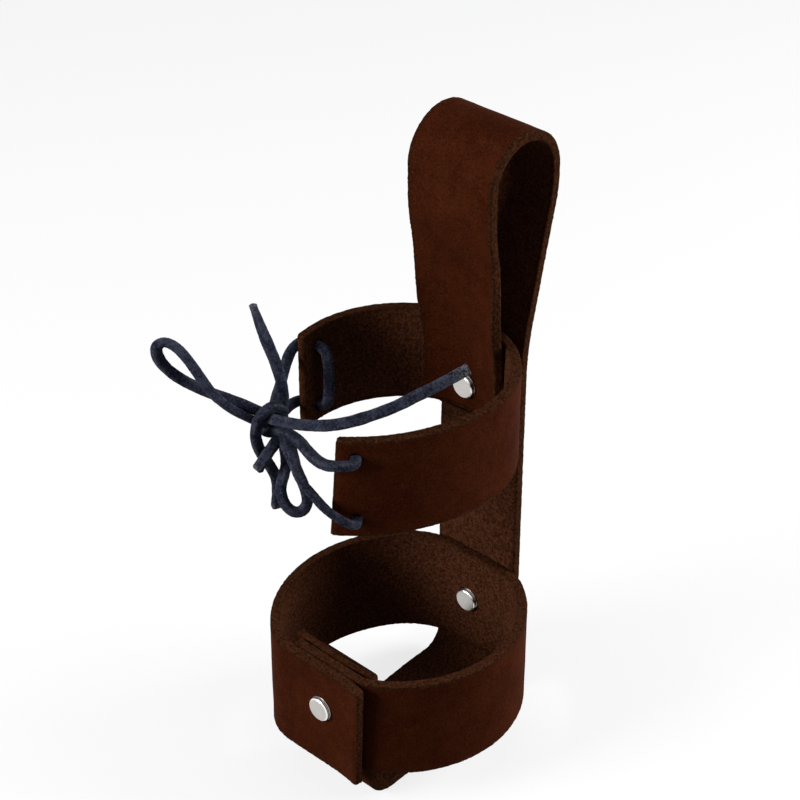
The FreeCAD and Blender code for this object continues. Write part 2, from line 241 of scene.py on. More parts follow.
FRAY = {"lace_end_right": 0.007, "lace_end_up": 0.003}
TAPER = {"lace_end_up": 0.014}
# Painted light on each lace piece: its share of a lighter copy of the lace, where the piece stands
# in more light
PAINTED_LIGHT = {"bow_loop_left": 0.8, "bow_loop_low": 0.35, "lace_end_up": 0.9, "lace_end_right": 0.3}
PLAIN_PAINTED_LIGHT = 0.05
LACE_TWIST = 0.5
LACE_TWIST_PACE = 2.3
LACE_TWIST_START = 0.4
SHORT_END_TWIST = 0.2
SHORT_END_FRAY = 0.002

# Lace's colours, dark to light, with the size and depth of its nap and patches
LACE_BLACKS = ((0.0052, 0.0063, 0.0134, 1), (0.0310, 0.0345, 0.0550, 1))
# The lighter pair is the same lace with painted light, mixed in by each piece's share of painted
# light
PAINTED_LIGHT_BLACKS = ((0.0110, 0.0130, 0.0270, 1), (0.0620, 0.0680, 0.1060, 1))
RUBBED_GREY = (0.080, 0.083, 0.100, 1)
FRAYED_GREY = (0.200, 0.195, 0.190, 1)
LACE_NAP_SIZE = 0.0008
LACE_NAP_DEPTH = 0.00045
LACE_PATCH_SIZE = 0.0045
LACE_PATCH_DEPTH = 0.00018

# Knot: a trefoil of lace, drawn tight
KNOT_CENTRE = Vector((-0.0216, -0.0380, 0.1395))
KNOT_TURN_RADIUS = 0.0027
KNOT_WEAVE_RADIUS = 0.0015
KNOT_DEPTH = 1.15 * KNOT_WEAVE_RADIUS
# The knot and the short ends take a little painted light
KNOT_PAINTED_LIGHT = 0.2
KNOT_STEPS = 120
KNOT_FACING = Vector((0.55, -0.75, 0.35))

# Rivets
RIVETS = ("front_rivet", "back_rivet", "loop_rivet")
RIVET_RADIUS = 0.00475
RIVET_RIM_RADIUS = RIVET_RADIUS - 0.00035
RIVET_FACE_RADIUS = RIVET_RADIUS - 0.00075
RIVET_FACE_HEIGHT = 0.00175
RIVET_CROWN = 0.00195
# The face's level between painted shade (0) and painted highlight (1): its plain colour
RIVET_FACE_LIGHT_LEVEL = 0.5
RIVET_FACE_STEPS = 10
RIVET_STEPS = 72
MERGE_DISTANCE = 1e-6
NICKEL_GREYS = ((0.50, 0.475, 0.45, 1), (0.60, 0.58, 0.555, 1))
# The rim's colour is partly polish and partly painted highlight; the brown is painted shade in the
# groove and round the foot
RIM_POLISH_AND_HIGHLIGHT = (0.86, 0.84, 0.82, 1)
PAINTED_SHADE_BROWN = (0.045, 0.035, 0.030, 1)
NICKEL_CLOUD_SIZE = 0.0030
RUB_SIZE = 0.0004
RUB_DEPTH = 0.00002

# Studio: the floor brightens beyond the lamps' reach, so that it meets the white behind
WHITE = (1, 1, 1, 1)
BLACK = (0, 0, 0, 1)
SKY_LIGHT = (0.11, 0.11, 0.115, 1)
FLOOR_GREYS = ((0.22, 0.22, 0.22, 1), (0.24, 0.24, 0.24, 1))
FLOOR_GLOW = (0.77, 0.77, 0.77, 1)
FLOOR_SIZE = 6.0
FLOOR_CLOUD_SIZE = 0.5
FLOOR_FADE_START = 0.7
FLOOR_FADE_END = 2.2
LAMP_AIM = Vector((0, 0, 0.12))
LAMPS = {
    "left_softbox": (Vector((-0.40, -0.90, 0.57)), 0.5, 11.5),
    "right_softbox": (Vector((0.68, 0.76, 0.45)), 0.6, 13.0),
    "top_softbox": (Vector((0.0, 0.1, 1.1)), 0.6, 2.0),
}


class Value:
    """A shader socket that takes Python's arithmetic."""

    def __init__(self, finish, socket):
        self.finish = finish
        self.socket = socket

    def __add__(self, other):
        return self.finish.math("ADD", self, other)

    def __radd__(self, other):
        return self.finish.math("ADD", other, self)

    def __mul__(self, other):
        return self.finish.math("MULTIPLY", self, other)

    def __rmul__(self, other):
        return self.finish.math("MULTIPLY", other, self)


class Finish:
    """One material's nodes, written as expressions."""

    def __init__(self, tree):
        self.tree = tree
        self.tree.nodes.clear()

    def node(self, kind, settings=None, sockets=None, output=0):
        made = self.tree.nodes.new(kind)
        for name, setting in (settings or {}).items():
            setattr(made, name, setting)
        for name, value in (sockets or {}).items():
            if isinstance(value, Value):
                self.tree.links.new(value.socket, made.inputs[name])
            else:
                made.inputs[name].default_value = value
        return Value(self, made.outputs[output]) if made.outputs else made

    def math(self, operation, *values):
        return self.node("ShaderNodeMath", {"operation": operation}, dict(enumerate(values)))

    def mix(self, share, first, second):
        sockets = {0: share, 6: first, 7: second}
        return self.node("ShaderNodeMix", {"data_type": "RGBA"}, sockets, 2)

    def span(self, value, low, high):
        """0 below low, 1 above high, smooth between."""
        sockets = {"Value": value, "From Min": low, "From Max": high}
        return self.node("ShaderNodeMapRange", {"interpolation_type": "SMOOTHSTEP"}, sockets)

    def place(self):
        return self.node("ShaderNodeTexCoord", output="Object")

    def attribute(self, name):
        return self.node("ShaderNodeAttribute", {"attribute_name": name}, output="Fac")

    def noise(self, where, size, detail=2.0, roughness=0.5):
        """Noise whose blobs are about size across."""
        sockets = {"Vector": where, "Scale": 1 / size, "Detail": detail, "Roughness": roughness}
        return self.node("ShaderNodeTexNoise", None, sockets)

    def bump(self, height, depth, under=None):
        sockets = {"Height": height, "Distance": depth, "Strength": 1.0}
        if under is not None:
            sockets["Normal"] = under
        return self.node("ShaderNodeBump", None, sockets)

    def in_sight(self):
        """1 where the eye looks, straight or by a reflection, and 0 where light only spreads."""
        rays = [self.node("ShaderNodeLightPath", output=f"Is {kind} Ray")
                for kind in ("Camera", "Glossy", "Transmission")]
        return self.math("MINIMUM", rays[0] + rays[1] + rays[2], 1.0)

    def surface(self, sockets):
        shader = self.node("ShaderNodeBsdfPrincipled", None, sockets)
        self.node("ShaderNodeOutputMaterial", None, {"Surface": shader})


def new_finish(name):
    material = bpy.data.materials.new(name)
    material.use_nodes = True
    return material, Finish(material.node_tree)


def brown_leather():
    """Dark oiled leather: matt napped grain, loose fibres on cut edges, a rough flesh side."""
    material, leather = new_finish("brown_leather")
    where = leather.place()
    cut = leather.attribute("cut")
    flesh = leather.attribute("flesh")
    cloud = leather.noise(where, CLOUD_SIZE, 3.0)
    mottle = leather.noise(where, MOTTLE_SIZE, 4.0, 0.6)
    nap = leather.noise(where, NAP_SIZE, 3.0, 0.65)
    fibre = leather.noise(where, FIBRE_SIZE, 5.0, 0.75)
    scuff = leather.noise(where, SCUFF_SIZE, 6.0, 0.7)

    tone = leather.span(0.25 * cloud + 0.2 * mottle + 0.55 * nap, 0.36, 0.64)
    grain = leather.mix(tone, *GRAIN_BROWNS)
    worn = leather.span(scuff + 0.5 * nap, 0.80, 1.05)
    grain = leather.mix(0.30 * worn, grain, SCUFFED_BROWN)
    tufts = leather.span(0.65 * fibre + 0.35 * nap, 0.38, 0.64)
    rough = leather.mix(tufts, *FLESH_BROWNS)
    edge = leather.mix(tufts, *EDGE_BROWNS)
    ragged = leather.span(cut + 0.8 * fibre, 0.45, 1.05)
    colour = leather.mix(flesh, grain, rough)
    colour = leather.mix(ragged, colour, edge)

    loose = leather.math("MAXIMUM", ragged, flesh)
    relief = leather.bump(mottle, MOTTLE_DEPTH)
    relief = leather.bump(nap, NAP_DEPTH, relief)
    relief = leather.bump(fibre * loose, FIBRE_DEPTH, relief)
    leather.surface({
        "Base Color": colour,
        "Roughness": 0.70 + 0.20 * nap + 0.12 * loose,
        "Specular IOR Level": 0.015,
        "Normal": relief,
    })
    return material


def black_lace():
    """Blue-black suede lace with a grey nap, paler where its cut ends fray, and painted lighter on
    the pieces that take painted light.
    """
    material, suede = new_finish("blue_black_lace")
    where = suede.place()
    frayed = suede.attribute("frayed")
    corner = suede.attribute("corner")
    painted_light = suede.attribute("painted_light")
    nap = suede.noise(where, LACE_NAP_SIZE, 4.0, 0.7)
    patch = suede.noise(where, LACE_PATCH_SIZE, 3.0)
    tone = suede.span(0.6 * nap + 0.4 * patch, 0.38, 0.66)
    # fresh is the lace's own colour; the lighter copy mixed in after it is painted light
    fresh = suede.mix(tone, *LACE_BLACKS)
    painted_lit = suede.mix(tone, *PAINTED_LIGHT_BLACKS)
    # Painted light: a lighter copy of the lace, as much as the piece's share says
    colour = suede.mix(painted_light, fresh, painted_lit)
    rubbed = corner * suede.span(nap + 0.5 * patch, 0.62, 0.92)
    colour = suede.mix(0.55 * rubbed, colour, RUBBED_GREY)
    tufts = frayed * suede.span(nap, 0.40, 0.70)
    colour = suede.mix(tufts, colour, FRAYED_GREY)
    relief = suede.bump(patch, LACE_PATCH_DEPTH)
    relief = suede.bump(nap, LACE_NAP_DEPTH, relief)
    suede.surface({
        "Base Color": colour,
        "Roughness": 0.72 + 0.2 * nap,
        "Specular IOR Level": 0.05,
        "Normal": relief,
    })
    return material


def rivet_nickel():
    """Polished nickel plate with fine rubbing marks, with a painted highlight on the polished rim
    and painted shade in the groove and round the foot.
    """
    material, nickel = new_finish("rivet_nickel")
    where = nickel.place()
    polish_and_painted_light = nickel.attribute("polish_and_painted_light")
    rub = nickel.noise(where, RUB_SIZE, 3.0, 0.6)
    cloud = nickel.noise(where, NICKEL_CLOUD_SIZE, 2.0)
    colour = nickel.mix(cloud, *NICKEL_GREYS)
    # Painted highlight on the polished rim, painted shade in the groove and at the foot
    colour = nickel.mix(nickel.span(polish_and_painted_light, RIVET_FACE_LIGHT_LEVEL, 1.0), colour, RIM_POLISH_AND_HIGHLIGHT)
    colour = nickel.mix(nickel.span(polish_and_painted_light, 0.0, RIVET_FACE_LIGHT_LEVEL), PAINTED_SHADE_BROWN, colour)
    nickel.surface({
        "Base Color": colour,
        "Metallic": 1.0,
        "Roughness": 0.16 + 0.14 * cloud + 0.08 * rub,
        "Normal": nickel.bump(rub, RUB_DEPTH),
    })
    return material


def along(heading):
    return Vector((math.cos(heading), math.sin(heading)))


def beside(heading):
    """Square to the heading, on its left."""
    return Vector((-math.sin(heading), math.cos(heading)))


class StripPath:
    """A strip drawn edge on: stations on straight runs and bends, close enough to look smooth."""

    STEP = 0.0009

    def __init__(self, start, heading):
        self.point = Vector(start)
        self.heading = math.radians(heading)
        self.stations = [(self.point.copy(), self.heading)]

    def go(self, length, turn):
        steps = max(2, math.ceil(length / self.STEP))
        for _ in range(steps):
            middle = self.heading + turn / steps / 2
            chord = length / steps
            if turn:
                half = abs(turn) / steps / 2
                chord *= math.sin(half) / half
            self.point = self.point + along(middle) * chord
            self.heading += turn / steps
            self.stations.append((self.point.copy(), self.heading))

    def last(self):
        return len(self.stations) - 1

    def run(self, length):
        self.go(length, 0)

    def bend(self, radius, degrees):
        turn = math.radians(degrees)
        self.go(radius * abs(turn), turn)


def section_outline(width):
    """Across and depth of a cut strip's section, with its corners eased."""
    half_width, half_depth = width / 2 - CORNER_EASE, LEATHER / 2 - CORNER_EASE
    corners = [(1, 1, 0), (-1, 1, 90), (-1, -1, 180), (1, -1, 270)]
    points = []
    for (side, face, start), (next_side, next_face, _) in zip(corners, corners[1:] + corners[:1]):
        for step in range(CORNER_STEPS + 1):
            angle = math.radians(start + 90 * step / CORNER_STEPS)
            points.append((side * half_width + CORNER_EASE * math.cos(angle),
                           face * half_depth + CORNER_EASE * math.sin(angle)))
        here = Vector(points[-1])
        leave = math.radians(start + 90)
        there = Vector((next_side * half_width + CORNER_EASE * math.cos(leave),
                        next_face * half_depth + CORNER_EASE * math.sin(leave)))
        steps = round(width / FACE_STEP) if side != next_side else EDGE_STEPS
        points += [tuple(here.lerp(there, step / steps)) for step in range(1, steps)]
    return points


def closed_ring(mesh, ring):
    return [mesh.edges.new(pair) for pair in zip(ring, ring[1:] + ring[:1])]


def next_ring(mesh, edges):
    """A ring of edges extruded: the vertices and edges of the new ring."""
    made = bmesh.ops.extrude_edge_only(mesh, edges=edges)["geom"]
    ring = [item for item in made if isinstance(item, bmesh.types.BMVert)]
    fresh = set(ring)
    edges = [item for item in made if isinstance(item, bmesh.types.BMEdge)
             and all(vertex in fresh for vertex in item.verts)]
    return ring, edges


def roughen(mesh, coats, plain, more, loose):
    """Raises noise all over the mesh, higher where the loose layer says so."""
    bmesh.ops.recalc_face_normals(mesh, faces=mesh.faces)
    mesh.normal_update()
    for vertex in mesh.verts:
        height = sum(share * noise.noise(vertex.co * scale) for scale, share in coats)
        vertex.co += vertex.normal * height * (plain + more * vertex[loose])


def leather_strip(name, path, width, place):
    """A strip of leather along a path: its section is extruded from station to station."""
    mesh = bmesh.new()
    across = mesh.verts.layers.float.new("across")
    depth = mesh.verts.layers.float.new("depth")
    cut = mesh.verts.layers.float.new("cut")
    flesh = mesh.verts.layers.float.new("flesh")
    ring = []
    for w, d in section_outline(width):
        vertex = mesh.verts.new()
        vertex[across], vertex[depth] = w, d
        vertex[cut] = clamp((abs(w) - width / 2 + CUT_WIDTH) / (CUT_WIDTH * CUT_BLEND))
        vertex[flesh] = clamp(d / LEATHER * FLESH_BLEND)
        ring.append(vertex)
    first_edges = edges = closed_ring(mesh, ring)

    stations = path.stations
    for number, (point, heading) in enumerate(stations):
        from_end = min(number, len(stations) - 1 - number)
        inset = END_EASE[from_end] if from_end < len(END_EASE) else 0.0
        if number:
            ring, edges = next_ring(mesh, edges)
        share = number / (len(stations) - 1)
        cut_place = Vector((number * CUT_SWAY_PACE, width * CUT_SWAY_SEED, 0.5))
        sway = CUT_SWAY * noise.noise(cut_place)
        for vertex in ring:
            w = vertex[across]
            d = vertex[depth]
            w = math.copysign(min(abs(w), width / 2 - inset), w)
            d = math.copysign(min(abs(d), LEATHER / 2 - inset), d)
            face_place = Vector((number * FACE_WAVE_PACE, w * FACE_WAVE_SCALE,
                                 width * FACE_WAVE_SEED))
            wave = FACE_WAVE * noise.noise(face_place)
            vertex.co = place(point, heading, w + sway, d + wave, share)
    for loop in (first_edges, edges):
        cap = bmesh.ops.edgeloop_fill(mesh, edges=loop)["faces"]
        for vertex in cap[0].verts:
            vertex[cut] = 1.0
    roughen(mesh, LEATHER_FUZZ, FACE_FUZZ, CUT_FUZZ, cut)
    return finished(name, mesh)


def finished(name, mesh):
    """The mesh as an object in the scene, smooth."""
    data = bpy.data.meshes.new(name)
    mesh.to_mesh(data)
    mesh.free()
    data.shade_smooth()
    piece = bpy.data.objects.new(name, data)
    bpy.context.scene.collection.objects.link(piece)
    return piece


def dress(piece, material, slot, *stands_for):
    """Gives a piece its material and its body, and hides the nodes that it stands for; its slot is
    not used.
    """
    piece.data.materials.clear()
    piece.data.materials.append(material)
    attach(piece, "root")
    if stands_for:
        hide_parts(*stands_for)
    return piece


def clamp(value):
    return max(0.0, min(1.0, value))


def ease(value, start, end):
    """0 at start, 1 at end, smooth between."""
    share = clamp((value - start) / (end - start))
    return share * share * (3 - 2 * share)


def lean(rise, across, bend_shares):
    """Two opposite bends that move the strap across over a rise.

    Gives their radii, the length of the run between them and the angle of the lean.
    """
    widest = (rise**2 + across**2) / (2 * across)
    radii = [share * widest for share in bend_shares]
    total = sum(radii)
    angle = math.asin(total / math.hypot(rise, total - across)) - math.atan2(total - across, rise)
    between = (across - total * (1 - math.cos(angle))) / math.sin(angle)
    return radii, between, math.degrees(angle)


def carrier_strap():
    """Down from its front end, under as the base, up the back, over as the loop, to its tail."""
    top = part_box("carrier_strap")[1].z
    band_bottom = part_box("upper_band")[0].z
    fold_radius = (LOOP_FRONT_BULGE + LOOP_BACK_BULGE + BACK_STRAP_Y - TAIL_Y) / 2
    fold_centre = top - LEATHER / 2 - fold_radius
    back_lean_start = band_bottom + BACK_LEAN_HEIGHT
    tail_lean_start = band_bottom + TAIL_LEAN_HEIGHT
    back_rise = fold_centre - BACK_STRAIGHT - back_lean_start
    back_bends, back_run, back_degrees = lean(back_rise, LOOP_BACK_BULGE, BACK_BEND_SHARES)
    tail_rise = fold_centre - TAIL_STRAIGHT - tail_lean_start
    tail_bends, tail_run, tail_degrees = lean(tail_rise, LOOP_FRONT_BULGE, TAIL_BEND_SHARES)
    bend_top = LEATHER / 2 + BASE_BEND

    path = StripPath((FRONT_STRAP_Y, STRAP_END_HEIGHT), -90)
    path.run(STRAP_END_HEIGHT - bend_top)
    front_foot = path.last()
    path.bend(BASE_BEND, 90)
    base_front = path.last()
    path.run(BACK_STRAP_Y - FRONT_STRAP_Y - 2 * BASE_BEND)
    base_back = path.last()
    path.bend(BASE_BEND, 90)
    path.run(back_lean_start - bend_top)
    path.bend(back_bends[0], -back_degrees)
    path.run(back_run)
    path.bend(back_bends[1], back_degrees)
    path.run(BACK_STRAIGHT)
    path.bend(fold_radius, 180)
    path.run(TAIL_STRAIGHT)
    path.bend(tail_bends[0], tail_degrees)
    flat_until = path.last()
    path.run(tail_run)
    bowed_from = path.last()
    path.bend(tail_bends[1], -tail_degrees)
    path.run(TAIL_LEAN_HEIGHT - TAIL_END_HEIGHT)
    end = path.last()

    def place(point, heading, w, d, share):
        """The tail takes on the upper band's curve; the front end sits off centre and bowed."""
        station = share * end
        curvature = ease(station, flat_until, bowed_from) / TAIL_Y
        curvature -= ease(station, front_foot, 0) / FRONT_BOW_RADIUS
        if curvature:
            radius = 1 / curvature
            angle = w * curvature
            w, d = (radius + d) * math.sin(angle), (radius + d) * math.cos(angle) - radius
        spot = point + beside(heading) * d
        return Vector((w + FRONT_SHIFT * ease(station, base_back, base_front), spot.x, spot.y))

    return leather_strip("strap_leather", path, STRAP_WIDTH, place)


def band_place(low, high):
    """Where a band's section goes: its path lies flat, its width stands up."""
    middle = (low.z + high.z) / 2

    def place(point, heading, w, d, _):
        spot = point + beside(heading) * d
        return Vector((spot.x, spot.y, middle + w))

    return place


def flat_length(depth, bend_radius):
    """Half a flat at that depth from the ring's centre, between bends that run into its side."""
    return math.sqrt(LOWER_RADIUS**2 - depth**2 - 2 * bend_radius * (LOWER_RADIUS - depth))


def lower_band():
    """A ring from its inner end round to the flap, which laps over that end and lifts."""
    low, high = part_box("lower_band")
    centre = LOWER_CENTRE_Y
    front_flat = flat_length(centre - INNER_END_Y, LOWER_FRONT_BEND)
    back_flat = flat_length(BACK_BAND_Y - centre, LOWER_BACK_BEND)
    front_angle = math.degrees(math.atan2(INNER_END_Y + LOWER_FRONT_BEND - centre, front_flat))
    back_angle = math.degrees(math.atan2(BACK_BAND_Y - LOWER_BACK_BEND - centre, back_flat))
    half_depth = (BACK_BAND_Y - FLAP_Y) / 2
    left_radius = half_depth + LEFT_SLACK
    reach = []
    turn = []
    for bend_radius in (LEFT_BACK_BEND, LEFT_FRONT_BEND):
        rise = half_depth - bend_radius
        reach.append(math.sqrt((left_radius - bend_radius) ** 2 - rise**2))
        turn.append(math.degrees(math.atan2(reach[-1], rise)))
    left_back_x = INNER_END_X + reach[1] - reach[0]
    lift = math.degrees(math.asin((FLAP_END_X - FLAP_LIFT_X) / FLAP_LIFT_RADIUS))

    path = StripPath((INNER_END_X, INNER_END_Y), 0)
    path.run(front_flat - INNER_END_X)
    path.bend(LOWER_FRONT_BEND, front_angle + 90)
    path.bend(LOWER_RADIUS, back_angle - front_angle)
    path.bend(LOWER_BACK_BEND, 90 - back_angle)
    path.run(back_flat - left_back_x)
    path.bend(LEFT_BACK_BEND, turn[0])
    path.bend(left_radius, 180 - sum(turn))
    path.bend(LEFT_FRONT_BEND, turn[1])
    path.run(FLAP_LIFT_X - INNER_END_X)
    path.bend(FLAP_LIFT_RADIUS, -lift)
    height = high.z - low.z
    length = path.STEP * path.last()
    upright = band_place(low, high)

    def place(point, heading, w, d, share):
        """Cut by hand: the lower edge runs on a slant, and so does the flap's end."""
        from_top = 0.5 - w / height
        taper = INNER_END_TAPER + (FLAP_TAPER - INNER_END_TAPER) * ease(share, *TAPER_CHANGE)
        short = FLAP_SLANT * ease(share, 1 - FLAP_SLANT_LENGTH / length, 1)
        point = point - along(heading) * short * from_top
        return upright(point, heading, w + taper * from_top, d, share)

    return leather_strip("lower_band_leather", path, height, place)


def upper_band():
    """Round the back, with two arms that end in lace holes."""
    low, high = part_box("upper_band")
    arm_centre = BACK_BAND_Y - UPPER_ARM_RADIUS
    end = math.radians(RIGHT_ARM_DEGREES)
    start = (arm_centre + UPPER_ARM_RADIUS * math.cos(end), -UPPER_ARM_RADIUS * math.sin(end))
    path = StripPath(start, 90 - RIGHT_ARM_DEGREES)
    path.bend(UPPER_ARM_RADIUS, RIGHT_ARM_DEGREES)
    path.bend(BACK_BAND_Y, 180)
    path.bend(UPPER_ARM_RADIUS, LEFT_ARM_DEGREES)
    height = high.z - low.z
    length = path.STEP * path.last()
    upright = band_place(low, high)

    def place(point, heading, w, d, share):
        """The right end is cut on a slant, longest at the bottom."""
        longer = RIGHT_END_EXTRA - RIGHT_END_SLANT * w / height
        longer *= 1 - ease(share, 0, RIGHT_END_SLANT_LENGTH / length)
        return upright(point - along(heading) * longer, heading, w, d, share)

    band = leather_strip("upper_band_leather", path, height, place)
    holes = []
    for side, arm_degrees in ((1, RIGHT_ARM_DEGREES), (-1, LEFT_ARM_DEGREES)):
        angle = math.radians(arm_degrees) - LACE_HOLE_INSET / UPPER_ARM_RADIUS
        outward = Vector((side * math.cos(angle), -math.sin(angle), 0))
        for z in (low.z + LACE_HOLE_MARGIN, high.z - LACE_HOLE_MARGIN):
            holes.append((Vector((side * arm_centre, 0, z)) + outward * UPPER_ARM_RADIUS, outward))
    return punched(band, holes)


def punched(piece, holes):
    """The piece with round holes cut through it."""
    cutter_mesh = bmesh.new()
    for point, outward in holes:
        turn = Vector((0, 0, 1)).rotation_difference(outward).to_matrix().to_4x4()
        bmesh.ops.create_cone(
            cutter_mesh, cap_ends=True, segments=LACE_HOLE_SIDES, radius1=LACE_HOLE / 2,
            radius2=LACE_HOLE / 2, depth=4 * LEATHER, matrix=Matrix.Translation(point) @ turn)
    cut = cutter_mesh.verts.layers.float.new("cut")
    for vertex in cutter_mesh.verts:
        vertex[cut] = 1.0
    cutter = finished("hole_cutter", cutter_mesh)
    boolean = piece.modifiers.new("holes", "BOOLEAN")
    boolean.operation = "DIFFERENCE"
    boolean.solver = "EXACT"
    boolean.object = cutter
    graph = bpy.context.evaluated_depsgraph_get()
    data = bpy.data.meshes.new_from_object(piece.evaluated_get(graph))
    piece.modifiers.clear()
    piece.data = data
    bpy.data.objects.remove(cutter)
    return piece


def smooth_line(points):
    """Points along the smooth curve that a route's points control."""
    curve = bpy.data.curves.new("route", "CURVE")
    curve.dimensions = "3D"
    curve.resolution_u = ROUTE_RESOLUTION
    spline = curve.splines.new("NURBS")
    spline.points.add(len(points) - 1)
    for knot, point in zip(spline.points, points):
        knot.co = (*point, 1)
    spline.order_u = 3
    spline.use_endpoint_u = True
    route = bpy.data.objects.new("route", curve)
    data = bpy.data.meshes.new_from_object(route)
    line = [vertex.co.copy() for vertex in data.vertices]
    bpy.data.objects.remove(route)
    bpy.data.curves.remove(curve)
    bpy.data.meshes.remove(data)
    return line


def line_length(line):
    return sum((after - before).length for before, after in zip(line, line[1:]))


def lace_section():
    """Across, thickness and wear round the cut lace: flatter than wide, with worn corners."""
    outline = []
    for side in range(LACE_SIDES):
        angle = 2 * math.pi * side / LACE_SIDES
        x, y = math.cos(angle), math.sin(angle)
        reach = (abs(x) ** LACE_SQUARENESS + abs(y) ** LACE_SQUARENESS) ** (-1 / LACE_SQUARENESS)
        outline.append((x * reach * LACE / 2, y * reach * LACE / 2 * LACE_FLATNESS,
                        abs(2 * x * y) ** LACE_CORNER_WEAR))
    return outline


def lace_tube(name, line, twist=0.0, closed=False, fray=0.0, taper=0.0, painted_light=KNOT_PAINTED_LIGHT):
    """Lace along a line: its section is extruded from point to point without needless twist."""
    mesh = bmesh.new()
    corner = mesh.verts.layers.float.new("corner")
    frayed = mesh.verts.layers.float.new("frayed")
    painted_light_layer = mesh.verts.layers.float.new("painted_light")
    across = mesh.verts.layers.float.new("across")
    thick = mesh.verts.layers.float.new("thick")
    ring = []
    for x, y, worn in lace_section():
        vertex = mesh.verts.new()
        vertex[across], vertex[thick], vertex[corner] = x, y, worn
        # Each piece's share of painted light
        vertex[painted_light_layer] = painted_light
        ring.append(vertex)
    first_edges = edges = closed_ring(mesh, ring)

    total = line_length(line)
    ahead = (line[1] - line[0]).normalized()
    side = ahead.cross(LACE_FACING).normalized()
    far = 0.0
    for number, point in enumerate(line):
        if number:
            ring, edges = next_ring(mesh, edges)
            far += (point - line[number - 1]).length
        before, after = line[max(number - 1, 0)], line[min(number + 1, len(line) - 1)]
        if closed:
            before, after = line[number - 1], line[(number + 1) % len(line)]
        turned = (after - before).normalized()
        side = (ahead.rotation_difference(turned) @ side).normalized()
        ahead = turned
        spun = Quaternion(ahead, twist * far / total) @ side
        up = ahead.cross(spun)
        swell = 1 + LACE_SWELL * noise.noise(point * LACE_SWELL_SCALE)
        if taper:
            swell *= 1 - LACE_TAPER_DEPTH * ease(far, total - taper, total)
        for vertex in ring:
            vertex.co = point + (spun * vertex[across] + up * vertex[thick]) * swell
            vertex[frayed] = max(0.0, 1 - (total - far) / fray) if fray else 0.0
    if closed:
        bmesh.ops.bridge_loops(mesh, edges=edges + first_edges)
    else:
        for loop in (first_edges, edges):
            cap = bmesh.ops.edgeloop_fill(mesh, edges=loop)["faces"]
            rim = list(cap[0].edges)
            bmesh.ops.bevel(mesh, geom=rim, offset=LACE * LACE_END_EASE, offset_type="OFFSET",
                            segments=2, profile=0.5, affect="EDGES", material=-1)
    roughen(mesh, LACE_FUZZ, LACE_NAP, FRAYED_NAP, frayed)
    return finished(name, mesh)


def knot_line():
    """A trefoil that faces the way the bow does."""
    turn = Vector((0, 0, 1)).rotation_difference(KNOT_FACING)
    line = []
    for step in range(KNOT_STEPS):
        angle = 2 * math.pi * step / KNOT_STEPS
        reach = KNOT_TURN_RADIUS + KNOT_WEAVE_RADIUS * math.cos(3 * angle)
        spot = Vector((reach * math.cos(2 * angle), reach * math.sin(2 * angle),
                       KNOT_DEPTH * math.sin(3 * angle)))
        line.append(KNOT_CENTRE + turn @ spot)
    return line


def lace():
    """The knot, its two short ends, and the loops, ends, strands and bights as cords."""
    finish = black_lace()
    turns = lace_tube("lace_knot_turns", knot_line(), closed=True)
    knot = dress(turns, finish, "lace_leather", "lace_knot")
    ends = {}
    for name, points in SHORT_ENDS.items():
        line = smooth_line(points)
        tube = lace_tube(name, line, SHORT_END_TWIST, fray=SHORT_END_FRAY)
        ends[name] = dress(tube, finish, "lace_leather", "lace_knot")
        if name == "lace_short_end_down":
            line_length(line)
    for number, (name, points) in enumerate(LACE_ROUTES.items()):
        line = smooth_line(points)
        twist = LACE_TWIST * math.sin(LACE_TWIST_PACE * number + LACE_TWIST_START)
        tube = lace_tube(f"{name}_cord", line, twist, fray=FRAY.get(name, 0.0),
                         taper=TAPER.get(name, 0.0), painted_light=PAINTED_LIGHT.get(name, PLAIN_PAINTED_LIGHT))
        piece = dress(tube, finish, "lace_leather", name)
        on_it = [knot, ends["lace_short_end_left"]] if name == "lace_end_up" else []
        line_length(line)


def lathe(outline):
    """A turned piece about Z from its outline, which starts and ends on the axis."""
    mesh = bmesh.new()
    # Each point's level of painted light: 0 painted shade, up to 1 a painted highlight
    polish_and_painted_light = mesh.verts.layers.float.new("polish_and_painted_light")
    corners = []
    for radius, height, light_level in outline:
        corner = mesh.verts.new((radius, 0, height))
        corner[polish_and_painted_light] = light_level
        corners.append(corner)
    edges = [mesh.edges.new(pair) for pair in zip(corners, corners[1:])]
    bmesh.ops.spin(mesh, geom=corners + edges, axis=(0, 0, 1), cent=(0, 0, 0), angle=2 * math.pi,
                   steps=RIVET_STEPS, use_merge=True)
    bmesh.ops.remove_doubles(mesh, verts=mesh.verts, dist=MERGE_DISTANCE)
    bmesh.ops.recalc_face_normals(mesh, faces=mesh.faces)
    return mesh


